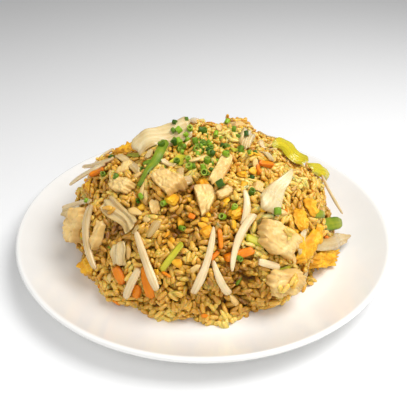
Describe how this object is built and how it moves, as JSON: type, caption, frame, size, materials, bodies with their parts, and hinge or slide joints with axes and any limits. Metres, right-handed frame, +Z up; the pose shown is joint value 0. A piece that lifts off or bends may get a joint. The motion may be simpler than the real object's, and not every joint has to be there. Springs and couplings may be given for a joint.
{
  "type": "fried rice plate",
  "caption": "Round white plate piled with a dome of fried rice, with chicken, egg, cabbage, carrot strips, bean sprouts, leek and spring onion on it.",
  "frame": {"origin": "centre of the plate's foot ring, on the table", "axes": "+Z up through the crown of the heap, -Y towards the front of the plate, +X to its right"},
  "size_m": [0.24, 0.24, 0.0816],
  "materials": {
    "porcelain": null,
    "rice": null,
    "chicken": null,
    "egg": null,
    "cabbage": null,
    "leek": null,
    "onion_green": null,
    "carrot": null,
    "sprout": null
  },
  "bodies": {
    "root": {"plate": "porcelain", "rice_heap": "rice", "chicken_1": "chicken", "chicken_2": "chicken", "chicken_3": "chicken", "chicken_4": "chicken", "chicken_5": "chicken", "chicken_6": "chicken", "chicken_7": "chicken", "chicken_8": "chicken", "chicken_9": "chicken", "chicken_10": "chicken", "egg_1": "egg", "egg_2": "egg", "egg_3": "egg", "egg_4": "egg", "egg_5": "egg", "egg_6": "egg", "egg_7": "egg", "cabbage_1": "cabbage", "cabbage_2": "cabbage", "cabbage_3": "cabbage", "cabbage_4": "cabbage", "cabbage_5": "cabbage", "cabbage_6": "cabbage", "cabbage_7": "cabbage", "cabbage_8": "cabbage", "cabbage_9": "cabbage", "cabbage_10": "cabbage", "leek_1": "leek", "leek_2": "leek", "onion_green_1": "onion_green", "onion_green_2": "onion_green", "onion_green_3": "onion_green", "onion_green_4": "onion_green", "onion_green_5": "onion_green", "onion_green_6": "onion_green", "carrot_1": "carrot", "carrot_2": "carrot", "carrot_3": "carrot", "carrot_4": "carrot", "carrot_5": "carrot", "carrot_6": "carrot", "carrot_7": "carrot", "carrot_8": "carrot", "sprout_1": "sprout", "sprout_2": "sprout", "sprout_3": "sprout", "sprout_4": "sprout", "sprout_5": "sprout", "sprout_6": "sprout", "sprout_7": "sprout", "sprout_8": "sprout", "sprout_9": "sprout", "sprout_10": "sprout", "sprout_11": "sprout", "sprout_12": "sprout", "sprout_13": "sprout", "sprout_14": "sprout", "sprout_15": "sprout"}
  },
  "joints": []
}
